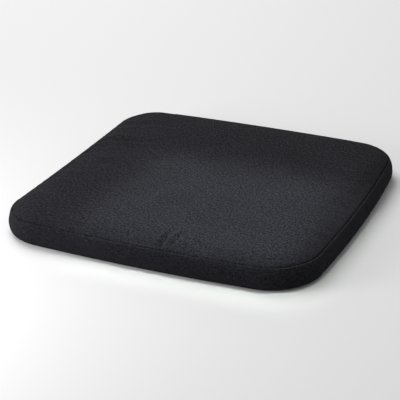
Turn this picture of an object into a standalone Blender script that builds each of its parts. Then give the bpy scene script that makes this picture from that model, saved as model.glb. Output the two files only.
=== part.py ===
"""Boxed seat pad: a zipped fabric cover over a lined foam pad.

The pad stands on the XY plane with its front towards -Y and its zipper towards +Y. All sizes are in
millimetres and become metres as each mesh is made. Most pieces follow the pad's outline, so they are
given as sections of (inset, height): inset is measured inwards from the widest contour of the side
wall, and height from the surface that the pad lies on.
"""

import math

import bmesh
import bpy
from mathutils import Vector

MM = 0.001

# Driving dimensions
WIDTH = 360.0
DEPTH = 366.0
FRONT_BOW = 8.0  # how far the front edge bows out between its corners
REAR_BOW = 5.0  # how far the straight middle of the rear edge stands out beyond its corners
SIDE_BOW = 3.0
FRONT_RADIUS = 51.0
REAR_RADIUS = 46.0
CLOTH = 0.9  # cover fabric
SHEET = 0.3  # liner
THREAD = 0.5
JOIN_X = 120.0  # the side band meets the zip strips at these two places on the rear wall
JOIN_GAP = 0.6
REAR_STRAIGHT = JOIN_X + 1.0  # half the length of the straight middle of the rear edge
CROWN_RISE = 3.3  # how far the top panel rises above its seam
CROWN_REACH = 22.0  # distance over which most of that rise happens
PANEL_EDGE_Z = 26.3
ZIP_Z = 13.5  # height of the zipper's centre line
TAPE_END_X = 119.0
CHAIN_START_X = -97.5  # the coils run from the bottom stop to the slider's closed place
SLIDER_X = 98.0
SLIDER_HALF = 5.5

# Insets of the zipper's layers, as (outer face, inner face)
TAPE_DEPTHS = (3.4, 3.9)
COIL_DEPTHS = (1.6, 3.1)
STOP_DEPTHS = (1.2, 3.1)
OUTER_PLATE_DEPTHS = (0.4, 1.2)
INNER_PLATE_DEPTHS = (4.2, 5.0)
FLANGE_DEPTHS = (0.9, 2.9)
DIVIDER_DEPTHS = (0.9, 4.5)
TOPSTITCH_DEPTHS = (-0.35, 0.0)
LABEL_DEPTHS = (-0.9, -0.3)
PULL_DEPTHS = (-1.3, -0.3)
PULL_AXIS_INSET = sum(PULL_DEPTHS) / 2
BAIL_INSET = -2.4  # outermost face of the bail that holds the pull tab
BAIL_THICKNESS = 0.8

# Worked out from them
HALF_WIDTH = WIDTH / 2 - SIDE_BOW
HALF_DEPTH = (DEPTH - FRONT_BOW - REAR_BOW) / 2
CENTRE_Y = (FRONT_BOW - REAR_BOW + BAIL_INSET) / 2  # puts the middle of the whole box on the origin
REAR_Y = CENTRE_Y + HALF_DEPTH + REAR_BOW
SCALED_FROM = 10.0  # deeper insets are scaled copies of the contour at this one
CENTRE_INSET = 180.0  # inset of the pad's middle

CORNER_STEPS = 6
FRONT_STEPS = 6
SIDE_STEPS = 4
REAR_STEPS = 4


# Outline -------------------------------------------------------------------------------------------


def corner(centre_x, centre_y, radius, start):
    """Points of a quarter turn, anticlockwise from the angle start, in degrees."""
    points = []
    for step in range(CORNER_STEPS + 1):
        angle = math.radians(start + 90.0 * step / CORNER_STEPS)
        points.append((centre_x + radius * math.cos(angle), centre_y + radius * math.sin(angle)))
    return points


def between(first, last, steps):
    """The points inside a straight run, without its two ends."""
    runs = [step / steps for step in range(1, steps)]
    return [tuple(a + (b - a) * run for a, b in zip(first, last)) for run in runs]


def plain_outline():
    """The rounded rectangle before bowing: (points round the band, points across the rear)."""
    a, b = HALF_WIDTH, HALF_DEPTH
    rear_left = corner(REAR_RADIUS - a, b - REAR_RADIUS, REAR_RADIUS, 90)
    front_left = corner(FRONT_RADIUS - a, FRONT_RADIUS - b, FRONT_RADIUS, 180)
    front_right = corner(a - FRONT_RADIUS, FRONT_RADIUS - b, FRONT_RADIUS, 270)
    rear_right = corner(a - REAR_RADIUS, b - REAR_RADIUS, REAR_RADIUS, 0)
    band = [(-JOIN_X - JOIN_GAP, b)] + rear_left
    band += between(rear_left[-1], front_left[0], SIDE_STEPS) + front_left
    band += between(front_left[-1], front_right[0], FRONT_STEPS) + front_right
    band += between(front_right[-1], rear_right[0], SIDE_STEPS) + rear_right
    band += [(JOIN_X + JOIN_GAP, b)]
    return band, between(band[-1], band[0], REAR_STEPS)


def bowed(point):
    """Moves a point of the rounded rectangle out with the bow of the edges."""
    x, y = point
    along_x = 1 - (x / HALF_WIDTH) ** 2
    along_y = 1 - (y / HALF_DEPTH) ** 2
    if y < 0:
        y -= FRONT_BOW * along_x * abs(y / HALF_DEPTH)
    else:
        past_straight = max(0.0, abs(x) - REAR_STRAIGHT) / (HALF_WIDTH - REAR_STRAIGHT)
        y += REAR_BOW * (1 - past_straight**2) * y / HALF_DEPTH
    x += math.copysign(SIDE_BOW, x) * along_y * abs(x / HALF_WIDTH)
    return Vector((x, y + CENTRE_Y))


def with_normals(points):
    """Pairs of (point, inward direction) for points that run anticlockwise round the outline."""
    placed = [bowed(point) for point in points]
    count = len(placed)
    pairs = []
    for i, here in enumerate(placed):
        along = placed[(i + 1) % count] - placed[i - 1]
        if here.y > REAR_Y - 1e-6:
            along = Vector((-1.0, 0.0))
        pairs.append((here, Vector((-along.y, along.x)).normalized()))
    return pairs


BAND_POINTS, REAR_POINTS = plain_outline()
RING = with_normals(BAND_POINTS + REAR_POINTS)
BAND = RING[: len(BAND_POINTS)]


def contour(stations, inset, height):
    """The outline's points at one inset and height."""
    offset = min(inset, SCALED_FROM)
    scale = min(1.0, (CENTRE_INSET - inset) / (CENTRE_INSET - SCALED_FROM))
    points = []
    for here, inward in stations:
        x, y = here + inward * offset
        points.append(Vector((x * scale, CENTRE_Y + (y - CENTRE_Y) * scale, height)))
    return points


def crown(inset):
    """Height of the top panel's middle layer at an inset from the widest contour."""
    return PANEL_EDGE_Z + CROWN_RISE * (1 - math.exp(-(inset - 8.0) / CROWN_REACH))


# Meshes --------------------------------------------------------------------------------------------


def material(name, colour, roughness, metallic=0.0):
    made = bpy.data.materials.new(name)
    made.use_nodes = True
    shader = made.node_tree.nodes["Principled BSDF"]
    shader.inputs["Base Color"].default_value = (*colour, 1.0)
    shader.inputs["Roughness"].default_value = roughness
    shader.inputs["Metallic"].default_value = metallic
    return made


def finish(name, bm, look, smooth=False, origin=(0.0, 0.0, 0.0)):
    """Makes an object from millimetres, with its origin on the given point."""
    bmesh.ops.recalc_face_normals(bm, faces=bm.faces)
    origin = Vector(origin)
    for vertex in bm.verts:
        vertex.co = (vertex.co - origin) * MM
    mesh = bpy.data.meshes.new(name)
    bm.to_mesh(mesh)
    bm.free()
    mesh.materials.append(look)
    if smooth:
        mesh.shade_smooth()
        mesh.set_sharp_from_angle(angle=math.radians(40))
    made = bpy.data.objects.new(name, mesh)
    made.location = origin * MM
    bpy.context.scene.collection.objects.link(made)
    return made


def thicken(path, thickness):
    """The closed outline of a strip of even thickness along a path in a plane."""
    points = [Vector(point) for point in path]
    left, right = [], []
    for i, here in enumerate(points):
        before = (here - points[i - 1]).normalized() if i else None
        after = (points[i + 1] - here).normalized() if i < len(points) - 1 else None
        tangents = [t for t in (before, after) if t]
        along = sum(tangents, Vector((0.0, 0.0))).normalized()
        across = Vector((-along.y, along.x))
        reach = thickness / 2 / max(0.5, along.dot(tangents[0]))
        left.append(here + across * reach)
        right.append(here - across * reach)
    return left + right[::-1]


def bridge(bm, rings, closed):
    """Faces between each contour and the next; closed also joins each contour's ends."""
    for first, second in zip(rings, rings[1:]):
        count = len(first)
        for i in range(count if closed else count - 1):
            j = (i + 1) % count
            bm.faces.new((first[i], first[j], second[j], second[i]))


def swept(name, section, stations, look, closed=True):
    """A closed section of (inset, height) carried along the outline."""
    bm = bmesh.new()
    rings = []
    for inset, height in section:
        rings.append([bm.verts.new(point) for point in contour(stations, inset, height)])
    bridge(bm, rings + rings[:1], closed)
    if not closed:
        for end in (0, -1):
            bm.faces.new([ring[end] for ring in rings])
    return finish(name, bm, look, smooth=True)


def domed(name, profile, look):
    """A body from a profile of (inset, height) that starts and ends on the pad's middle line."""
    bm = bmesh.new()
    rings = []
    for inset, height in profile[1:-1]:
        rings.append([bm.verts.new(point) for point in contour(RING, inset, height)])
    bridge(bm, rings, True)
    for ring, (_, height) in ((rings[0], profile[0]), (rings[-1], profile[-1])):
        pole = bm.verts.new((0.0, CENTRE_Y, height))
        for i, vertex in enumerate(ring):
            bm.faces.new((vertex, ring[(i + 1) % len(ring)], pole))
    return finish(name, bm, look, smooth=True)


def along_rear(name, section, first_x, last_x, look):
    """A section of (inset, height) drawn straight along the rear wall."""
    bm = bmesh.new()
    ends = []
    for x in (first_x, last_x):
        ends.append([bm.verts.new((x, REAR_Y - inset, height)) for inset, height in section])
    bridge(bm, ends, True)
    for end in ends:
        bm.faces.new(end)
    return finish(name, bm, look)


def plate(name, outline, depths, look, origin=(0.0, 0.0, 0.0)):
    """An outline of (x, height) on the rear wall, between two insets."""
    bm = bmesh.new()
    faces = []
    for inset in depths:
        faces.append([bm.verts.new((x, REAR_Y - inset, z)) for x, z in outline])
    bridge(bm, faces, True)
    for face in faces:
        bm.faces.new(face)
    return finish(name, bm, look, origin=origin)


def box(first_x, last_x, low, high):
    """A rectangle of (x, height)."""
    return [(first_x, low), (last_x, low), (last_x, high), (first_x, high)]


def combine(target, other, operation):
    """Joins or cuts with a helper that stays hidden."""
    other.hide_render = True
    other.display_type = "WIRE"
    change = target.modifiers.new(other.name, "BOOLEAN")
    change.operation = operation
    change.solver = "EXACT"
    change.object = other


# Sections ------------------------------------------------------------------------------------------

# Each is the middle line of the fabric. The allowances are folded in behind the wall.
BAND_TOP_FOLD = [(4.0, 25.4), (4.9, 25.0), (5.1, 24.0)]
BAND_BOTTOM_FOLD = [(6.3, 2.2), (5.6, 1.4), (4.6, 1.35)]
BAND_WALL = [(2.2, 3.2), (0.9, 6.2), (0.45, 10.6), (0.75, 15.2), (1.8, 20.6), (3.1, 24.3)]
ZIP_FOLD_UPPER = [(2.3, 20.1), (2.3, 18.5), (1.55, 17.9), (0.75, 18.4)]
ZIP_WALL_UPPER = [(0.95, 20.4), (1.6, 22.6), (2.7, 24.6)]
ZIP_FOLD_LOWER = [(0.75, 8.7), (1.55, 9.2), (2.3, 8.6), (2.3, 6.9)]
ZIP_WALL_LOWER = [(2.2, 2.8), (1.1, 4.9), (0.75, 7.2)]
PANEL_INSETS = (14.0, 22.0, 36.0, 60.0, 105.0)


def panel_profile(flange, below):
    """A middle line that follows the crown, lowered by a distance, from a turned-down edge inwards."""
    middle = [(inset, crown(inset) - below) for inset in PANEL_INSETS]
    return flange + middle + [(CENTRE_INSET, crown(CENTRE_INSET) - below)]


def sheet_of(profile, thickness):
    """Both faces of a sheet whose middle line runs from its free edge to the pad's middle."""
    outline = thicken(profile, thickness)
    half = len(profile)
    upper, lower = outline[:half], outline[half:]
    return [tuple(point) for point in upper[::-1] + lower[::-1]]


# Pieces --------------------------------------------------------------------------------------------


def make_cover(fabric, underside):
    top_edge = [(7.1, 18.0), (7.1, 24.6), (7.6, 25.8), (8.8, 26.4)]
    domed("cover_top_panel", sheet_of(panel_profile(top_edge, 0.0), CLOTH), fabric)

    path = [(6.3, 8.4)] + BAND_BOTTOM_FOLD + BAND_WALL + BAND_TOP_FOLD + [(5.1, 18.0)]
    swept("cover_side_band", thicken(path, CLOTH), BAND, fabric, closed=False)

    upper = ZIP_FOLD_UPPER + ZIP_WALL_UPPER + BAND_TOP_FOLD + [(5.1, 19.4)]
    lower = [(6.3, 6.8)] + BAND_BOTTOM_FOLD + ZIP_WALL_LOWER + ZIP_FOLD_LOWER
    strip_end = JOIN_X - JOIN_GAP
    along_rear("cover_zip_strip_upper", thicken(upper, CLOTH), -strip_end, strip_end, fabric)
    along_rear("cover_zip_strip_lower", thicken(lower, CLOTH), -strip_end, strip_end, fabric)

    base = [(8.3, 8.4), (8.3, 2.4), (9.2, 1.25), (CENTRE_INSET, 1.25)]
    domed("cover_bottom_panel", sheet_of(base, CLOTH), underside)


def make_grip_coating(rubber):
    """The non-slip layer that the pad rests on."""
    low, high, edge = 0.0, 0.5, 14.0
    profile = [(CENTRE_INSET, low), (edge, low), (edge, high), (CENTRE_INSET, high)]
    domed("grip_coating", profile, rubber)


def make_seam_threads(thread):
    half = THREAD / 2
    for name, inset, height in (("top_seam_thread", 6.1, 23.6), ("bottom_seam_thread", 7.3, 3.2)):
        section = [(inset - half, height - half), (inset + half, height - half)]
        section += [(inset + half, height + half), (inset - half, height + half)]
        swept(name, section, RING, thread)
    for name, x in (("side_join_thread_left", -JOIN_X), ("side_join_thread_right", JOIN_X)):
        plate(name, box(x - half, x + half, 4.0, 23.0), (1.3, 1.3 + THREAD), thread)
    end = JOIN_X - JOIN_GAP - 1.0
    for name, height in (("zip_topstitch_upper", 19.5), ("zip_topstitch_lower", 7.5)):
        plate(name, box(-end, end, height - half, height + half), TOPSTITCH_DEPTHS, thread)


def make_care_label(satin):
    """A blank folded label that hangs from the right-hand join."""
    length, low, high = 16.0, 7.0, 18.0
    plate("care_label", box(JOIN_X, JOIN_X + length, low, high), LABEL_DEPTHS, satin)


def make_inner_pad(foam, wadding, liner, thread):
    edge = 9.9
    foam_low, foam_high, chamfer = 2.7, 23.7, 2.0
    profile = [(CENTRE_INSET, foam_low), (edge + chamfer, foam_low), (edge, foam_low + chamfer)]
    profile += [(edge, foam_high - chamfer), (edge + chamfer, foam_high), (CENTRE_INSET, foam_high)]
    domed("foam_core", profile, foam)

    wadding_drop = 1.5  # from the top panel's middle line to the wadding's upper face
    wadding_low = foam_high + 0.3
    profile = [(CENTRE_INSET, wadding_low), (edge + chamfer, wadding_low)]
    profile += [(inset, crown(inset) - wadding_drop) for inset in (edge + chamfer, *PANEL_INSETS)]
    profile += [(CENTRE_INSET, crown(CENTRE_INSET) - wadding_drop)]
    domed("wadding_layer", profile, wadding)

    liner_inset = edge - 0.5
    liner_drop = 1.0
    seam_z, seam_gap = 13.5, 0.3
    skirt = [(liner_inset, seam_z + seam_gap), (liner_inset, 23.0), (11.0, crown(11.0) - liner_drop)]
    domed("liner_top", sheet_of(panel_profile(skirt, liner_drop), SHEET), liner)
    floor_z = 2.2
    skirt = [(liner_inset, seam_z - seam_gap), (liner_inset, 4.0), (11.0, floor_z)]
    domed("liner_bottom", sheet_of(skirt + [(CENTRE_INSET, floor_z)], SHEET), liner)
    near, far = liner_inset - 0.95, liner_inset - 0.45
    section = [(near, seam_z - 0.4), (far, seam_z - 0.4), (far, seam_z + 0.4), (near, seam_z + 0.4)]
    swept("liner_edge_thread", section, RING, thread)


def make_zip_chain(tape, coil):
    """Tapes, coils and stops. The coils part round the slider's divider at the closed place."""
    half_chain, half_gap, tape_edge, tape_width = 1.9, 0.15, 1.3, 7.2
    parted = (1.15, 2.45)  # a coil's inner and outer edge beside the divider
    part_start, part_end = SLIDER_X + 0.5, SLIDER_X + 1.5
    coil_end = SLIDER_X + SLIDER_HALF - 0.3
    stop_x = SLIDER_X + SLIDER_HALF + 0.5
    for side, up in (("upper", 1), ("lower", -1)):
        tape_span = (ZIP_Z + up * tape_edge, ZIP_Z + up * (tape_edge + tape_width))
        outline = box(-TAPE_END_X, TAPE_END_X, tape_span[0], tape_span[1])
        plate(f"zip_tape_{side}", outline, TAPE_DEPTHS, tape)

        inner = [(CHAIN_START_X, half_gap), (part_start, half_gap)]
        inner += [(part_end, parted[0]), (coil_end, parted[0])]
        outer = [(coil_end, parted[1]), (part_end, parted[1])]
        outer += [(part_start, half_chain), (CHAIN_START_X, half_chain)]
        outline = [(x, ZIP_Z + up * z) for x, z in inner + outer]
        plate(f"zip_coil_{side}", outline, COIL_DEPTHS, coil)

        outline = box(stop_x, stop_x + 2.2, ZIP_Z + up * 1.3, ZIP_Z + up * 2.9)
        plate(f"zip_top_stop_{side}", outline, STOP_DEPTHS, coil)
    outline = box(CHAIN_START_X - 2.7, CHAIN_START_X - 0.4, ZIP_Z - 2.4, ZIP_Z + 2.4)
    plate("zip_bottom_stop", outline, STOP_DEPTHS, coil)


def slider_outline():
    """The slider's plates: narrow where the joined chain leaves, wide where the tapes come in."""
    half = [(-SLIDER_HALF, 2.2), (-4.9, 2.8), (-0.5, 2.8), (2.0, 3.4), (4.9, 3.4), (SLIDER_HALF, 2.8)]
    upper = [(SLIDER_X + x, ZIP_Z + z) for x, z in half]
    lower = [(SLIDER_X + x, ZIP_Z - z) for x, z in half]
    return lower + upper[::-1]


def make_slider(metal):
    origin = (SLIDER_X, REAR_Y - TAPE_DEPTHS[0], ZIP_Z)
    slider = plate("zip_slider_body", slider_outline(), OUTER_PLATE_DEPTHS, metal, origin)
    inner_plate = plate("slider_inner_plate", slider_outline(), INNER_PLATE_DEPTHS, metal)
    combine(slider, inner_plate, "UNION")
    divider = box(SLIDER_X + 1.7, SLIDER_X + 5.0, ZIP_Z - 0.8, ZIP_Z + 0.8)
    combine(slider, plate("slider_divider", divider, DIVIDER_DEPTHS, metal), "UNION")
    for side, up in (("upper", 1), ("lower", -1)):
        path = [(-5.0, 2.5), (-0.5, 2.5), (2.0, 3.1), (4.8, 3.1)]
        path = [(SLIDER_X + x, ZIP_Z + up * z) for x, z in path]
        flange = plate(f"slider_flange_{side}", thicken(path, 0.55), FLANGE_DEPTHS, metal)
        combine(slider, flange, "UNION")

    bail = bmesh.new()
    foot, top = OUTER_PLATE_DEPTHS[1] - 0.4, BAIL_INSET + BAIL_THICKNESS / 2
    path = [(-2.6, foot), (-2.6, top + 1.0), (-1.6, top), (1.6, top), (2.6, top + 1.0), (2.6, foot)]
    outline = thicken(path, BAIL_THICKNESS)
    sides = []
    for z in (ZIP_Z - 0.8, ZIP_Z + 0.8):
        sides.append([bail.verts.new((SLIDER_X + x, REAR_Y - inset, z)) for x, inset in outline])
    bridge(bail, sides, True)
    for side in sides:
        bail.faces.new(side)
    combine(slider, finish("slider_bail", bail, metal), "UNION")


def make_pull_tab(metal):
    """Rests flat against the closed chain, with its eye round the slider's bail."""
    origin = (SLIDER_X, REAR_Y - PULL_AXIS_INSET, ZIP_Z)
    half = [(0.5, 2.3), (-4.5, 2.3), (-7.0, 3.2), (-19.5, 3.2), (-21.5, 1.8)]
    upper = [(SLIDER_X + x, ZIP_Z + z) for x, z in half]
    lower = [(SLIDER_X + x, ZIP_Z - z) for x, z in half]
    tab = plate("zip_pull_tab", lower + upper[::-1], PULL_DEPTHS, metal, origin)
    eye = box(SLIDER_X - 3.9, SLIDER_X - 0.5, ZIP_Z - 1.2, ZIP_Z + 1.2)
    cut = (PULL_DEPTHS[0] - 1.0, PULL_DEPTHS[1] + 1.0)
    combine(tab, plate("pull_eye_cutter", eye, cut, metal), "DIFFERENCE")


def main():
    for old in list(bpy.data.objects):
        bpy.data.objects.remove(old)
    fabric = material("melange fabric", (0.045, 0.046, 0.054), 0.95)
    underside = material("base cloth", (0.030, 0.030, 0.033), 0.9)
    rubber = material("grip coating", (0.020, 0.020, 0.021), 0.7)
    thread = material("sewing thread", (0.020, 0.020, 0.024), 0.7)
    foam = material("foam", (0.78, 0.76, 0.62), 0.95)
    wadding = material("polyester wadding", (0.85, 0.85, 0.84), 0.95)
    liner = material("liner", (0.82, 0.82, 0.80), 0.9)
    tape = material("zipper tape", (0.018, 0.018, 0.020), 0.85)
    coil = material("zipper coil", (0.022, 0.022, 0.024), 0.45)
    metal = material("slider metal", (0.10, 0.10, 0.11), 0.35, 0.9)
    satin = material("label satin", (0.80, 0.80, 0.78), 0.5)
    make_cover(fabric, underside)
    make_grip_coating(rubber)
    make_seam_threads(thread)
    make_care_label(satin)
    make_inner_pad(foam, wadding, liner, thread)
    make_zip_chain(tape, coil)
    make_slider(metal)
    make_pull_tab(metal)


main()
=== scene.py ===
"""The looks of a boxed seat pad: charcoal melange cover, zipper, seams, underside and lined foam pad.

Sizes are millimetres until a mesh is made, and metres for the camera and lights. Most pieces follow the
pad's outline, so they are drawn as rows of (inset, height): inset is measured inwards from the widest
contour of the side wall, and height from the floor. The outline is walked anticlockwise in four sides of
equal numbers of stations, rear, left, front and right, each from the middle of one corner to the next.
"""

import math

import bmesh
import bpy
import numpy as np
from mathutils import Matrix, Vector
from mathutils.kdtree import KDTree


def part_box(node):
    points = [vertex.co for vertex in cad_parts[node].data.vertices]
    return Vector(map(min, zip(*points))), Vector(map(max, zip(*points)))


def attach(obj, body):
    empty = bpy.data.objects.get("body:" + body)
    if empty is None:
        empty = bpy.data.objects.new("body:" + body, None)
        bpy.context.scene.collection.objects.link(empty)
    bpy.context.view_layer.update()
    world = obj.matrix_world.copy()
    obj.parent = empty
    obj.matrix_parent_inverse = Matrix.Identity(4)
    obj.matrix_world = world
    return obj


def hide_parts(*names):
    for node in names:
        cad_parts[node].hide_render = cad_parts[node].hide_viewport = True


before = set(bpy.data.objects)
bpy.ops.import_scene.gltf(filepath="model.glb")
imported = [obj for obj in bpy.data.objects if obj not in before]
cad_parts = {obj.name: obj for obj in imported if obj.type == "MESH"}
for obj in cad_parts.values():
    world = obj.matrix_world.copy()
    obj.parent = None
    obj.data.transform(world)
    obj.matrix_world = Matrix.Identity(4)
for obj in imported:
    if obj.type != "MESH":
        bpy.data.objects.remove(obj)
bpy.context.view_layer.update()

MM = 0.001


def box_mm(node):
    """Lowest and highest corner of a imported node, in millimetres."""
    low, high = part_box(node)
    return np.array(low) / MM, np.array(high) / MM


# ---- Sizes from the frame ----

BAND_LOW, BAND_HIGH = box_mm("cover_side_band")
_, PANEL_HIGH = box_mm("cover_top_panel")
BASE_LOW, _ = box_mm("cover_bottom_panel")
_, STRIP_HIGH = box_mm("cover_zip_strip_upper")
FOAM_LOW, FOAM_HIGH = box_mm("foam_core")
COIL_LOW, COIL_HIGH = box_mm("zip_coil_upper")
TAPE_LOW, TAPE_HIGH = box_mm("zip_tape_upper")
SLIDER_LOW, SLIDER_HIGH = box_mm("zip_slider_body")
PULL_LOW, PULL_HIGH = box_mm("zip_pull_tab")
LABEL_LOW, LABEL_HIGH = box_mm("care_label")

SIDE_BOW = 3.0
FRONT_BOW = 8.0
REAR_BOW = 5.0
FRONT_RADIUS = 51.0
REAR_RADIUS = 46.0
CLOTH = 0.9
THREAD_RADIUS = 0.27
REAR_Y = BAND_HIGH[1]
HALF_WIDTH = (BAND_HIGH[0] - BAND_LOW[0]) / 2 - SIDE_BOW
HALF_DEPTH = (REAR_Y - BAND_LOW[1] - FRONT_BOW - REAR_BOW) / 2
CENTRE_Y = REAR_Y - REAR_BOW - HALF_DEPTH
JOIN_X = STRIP_HIGH[0] + 0.6
REAR_STRAIGHT = JOIN_X + 1.0
SLIDER_X = (SLIDER_LOW[0] + SLIDER_HIGH[0]) / 2
ZIP_Z = (SLIDER_LOW[2] + SLIDER_HIGH[2]) / 2
TOP_Z = PANEL_HIGH[2] - CLOTH / 2

SIDE_STATIONS = 150
PAD_STATIONS = 75
GRID_INSET = 40.0  # where a panel's rings end and the grid over its middle begins
LEAN = 5.6  # how far the pad's middle sits to the right of its corners
REAR_LIFT = 2.4  # how far the rear rim rises in its middle


# ---- Outline ----


def eased(value, low=0.0, high=1.0):
    """0 below low, 1 above high and a smooth rise between them."""
    share = np.clip((value - low) / (high - low), 0.0, 1.0)
    return share * share * (3 - 2 * share)


def end_bow(x, y):
    """How far the front or the rear edge bows out at x. The rear is straight along the zipper."""
    along_x = 1 - np.minimum(1.0, np.abs(x / HALF_WIDTH)) ** 2
    past_straight = np.clip((np.abs(x) - REAR_STRAIGHT) / (HALF_WIDTH - REAR_STRAIGHT), 0.0, 1.0)
    return np.where(y < 0, FRONT_BOW * along_x, REAR_BOW * (1 - past_straight**2))


def bowed(x, y):
    """Moves points of the rounded rectangle out with the bow of the edges."""
    side = SIDE_BOW * (1 - (y / HALF_DEPTH) ** 2) * x / HALF_WIDTH
    return x + side, y + end_bow(x, y) * y / HALF_DEPTH + CENTRE_Y


def arc(centre_x, centre_y, radius, start):
    """A quarter turn, anticlockwise from the angle start, in degrees, as an array of points."""
    angles = np.radians(np.linspace(start, start + 90.0, 91))
    return np.stack([centre_x + radius * np.cos(angles), centre_y + radius * np.sin(angles)], 1)


def run_length(line):
    """Distance of each point of a line from its start."""
    return np.concatenate([[0.0], np.cumsum(np.linalg.norm(np.diff(line, axis=0), axis=1))])


def sampled(values, run, at):
    """Values that are given along a line, at other distances from its start."""
    return np.stack([np.interp(at, run, column) for column in values.T], -1)


def evenly(line, steps):
    """The line again, with points at steps equal distances."""
    run = run_length(line)
    return sampled(line, run, np.linspace(0.0, run[-1], steps + 1))


def unit(vectors):
    return vectors / np.linalg.norm(vectors, axis=-1, keepdims=True)


def left_of(along):
    """Unit directions to the left of the given ones."""
    along = unit(along)
    return np.stack([-along[:, 1], along[:, 0]], 1)


def loop_left(loop):
    """Unit directions to the left of a closed line, at its points."""
    return left_of(np.roll(loop, -1, 0) - np.roll(loop, 1, 0))


def outline(stations):
    """Stations round the pad: (points, inward directions)."""
    a, b = HALF_WIDTH, HALF_DEPTH
    corners = [
        arc(a - REAR_RADIUS, b - REAR_RADIUS, REAR_RADIUS, 0),
        arc(REAR_RADIUS - a, b - REAR_RADIUS, REAR_RADIUS, 90),
        arc(FRONT_RADIUS - a, FRONT_RADIUS - b, FRONT_RADIUS, 180),
        arc(a - FRONT_RADIUS, FRONT_RADIUS - b, FRONT_RADIUS, 270),
    ]
    middle = len(corners[0]) // 2
    sides = []
    for here, following in zip(corners, corners[1:] + corners[:1]):
        straight = np.linspace(here[-1], following[0], 200)
        line = np.concatenate([here[middle:], straight[1:-1], following[: middle + 1]])
        line = np.stack(bowed(line[:, 0], line[:, 1]), 1)
        sides.append(evenly(line, stations)[:-1])
    points = np.concatenate(sides)
    return points, loop_left(points)


def closed_line(inset, z):
    """The outline again at one inset and height, ending where it starts: (points, inward directions)."""
    points, inward = outline(SIDE_STATIONS)
    points, inward = np.concatenate([points, points[:1]]), np.concatenate([inward, inward[:1]])
    return np.column_stack([points + inward * inset, np.full(len(points), z)]), inward


def edge_distance(x, y):
    """How far inside the widest contour points lie."""
    y = y - CENTRE_Y
    y = y / (1 + end_bow(x, y) / HALF_DEPTH)
    along_y = 1 - np.minimum(1.0, np.abs(y / HALF_DEPTH)) ** 2
    x = x / (1 + SIDE_BOW * along_y / HALF_WIDTH)
    radius = np.where(y > 0, REAR_RADIUS, FRONT_RADIUS)
    out_x = np.abs(x) - HALF_WIDTH + radius
    out_y = np.abs(y) - HALF_DEPTH + radius
    past = np.hypot(np.maximum(out_x, 0.0), np.maximum(out_y, 0.0))
    return radius - past - np.minimum(np.maximum(out_x, out_y), 0.0)


def settled(points):
    """How the stuffed pad sits: its middle leans to the right and its rear rim stands up."""
    x, y, z = np.asarray(points, float).T
    u = np.clip(x / HALF_WIDTH, -1.0, 1.0)
    v = np.clip((y - CENTRE_Y) / HALF_DEPTH, -1.0, 1.0)
    lift = REAR_LIFT * (1 - u * u) * np.maximum(v, 0.0) ** 2 * eased(z, 18.0, 26.0)
    return np.stack([x + LEAN * (1 - v * v), y, z + lift], 1)


def waves(x, y, length, seed):
    """Smooth random relief, about -1 to 1, from plane waves of about one length."""
    count, random = 12, np.random.default_rng(seed)
    total = np.zeros(np.broadcast(x, y).shape)
    for _ in range(count):
        turn, phase = random.uniform(0.0, 2 * math.pi, 2)
        size = 2 * math.pi / (length * random.uniform(0.7, 1.5))
        total += np.sin(size * (x * math.cos(turn) + y * math.sin(turn)) + phase)
    return total / math.sqrt(count)


# ---- Meshes ----


def new_object(name, points, faces):
    """An object in the scene, with a mesh from points in millimetres."""
    mesh = bpy.data.meshes.new(name)
    mesh.from_pydata((np.asarray(points) * MM).tolist(), [], faces)
    made = bpy.data.objects.new(name, mesh)
    bpy.context.scene.collection.objects.link(made)
    return made


def make_piece(
    name, node, slot, points, faces,
    body="cushion", uv=None, fleck_sheen=None, closed=False, sharp=None, thickness=None,
):
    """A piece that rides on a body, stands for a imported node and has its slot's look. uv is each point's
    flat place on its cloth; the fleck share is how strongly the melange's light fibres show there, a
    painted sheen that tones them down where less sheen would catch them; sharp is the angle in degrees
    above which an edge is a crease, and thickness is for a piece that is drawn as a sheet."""
    piece = new_object(name, points, faces)
    mesh = piece.data
    if closed:
        form = bmesh.new()
        form.from_mesh(mesh)
        bmesh.ops.recalc_face_normals(form, faces=form.faces)
        form.to_mesh(mesh)
        form.free()
    if uv is not None:
        corners = np.zeros(len(mesh.loops), np.int32)
        mesh.loops.foreach_get("vertex_index", corners)
        layer = mesh.uv_layers.new(name="cloth")
        layer.data.foreach_set("uv", (uv[corners] * MM).ravel())
    if fleck_sheen is not None:
        layer = mesh.attributes.new("fleck_sheen", "FLOAT", "POINT")
        layer.data.foreach_set("value", np.broadcast_to(fleck_sheen, len(mesh.vertices)).astype(np.float32))
    mesh.shade_smooth()
    if sharp is not None:
        mesh.set_sharp_from_angle(angle=math.radians(sharp))
    mesh.materials.append(LOOKS[slot])
    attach(piece, body)
    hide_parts(node)
    if thickness is not None:
        change = piece.modifiers.new("thickness", "SOLIDIFY")
        change.thickness = thickness * MM
        change.offset = 0.0
    return piece


def spread(*parts):
    """Coordinates over one grid, each of them an array that fits it, as a list of points row by row."""
    return np.stack(np.broadcast_arrays(*parts), 2).reshape(-1, len(parts))


def grid_faces(rows, columns, closed=False):
    """Quads over a grid of points that is stored row by row."""
    index = np.arange(rows * columns).reshape(rows, columns)
    if closed:
        index = np.concatenate([index, index[:, :1]], 1)
    corners = [index[:-1, :-1], index[:-1, 1:], index[1:, 1:], index[1:, :-1]]
    return np.stack(corners, 2).reshape(-1, 4).tolist()


def shifted(faces, start):
    """The faces again, for points that are stored from start on."""
    return [tuple(i + start for i in face) for face in faces]


def joined(parts):
    """One (points, faces) from several."""
    all_faces, start = [], 0
    for points, faces in parts:
        all_faces += shifted(faces, start)
        start += len(points)
    return np.concatenate([points for points, _ in parts]), all_faces


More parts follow.
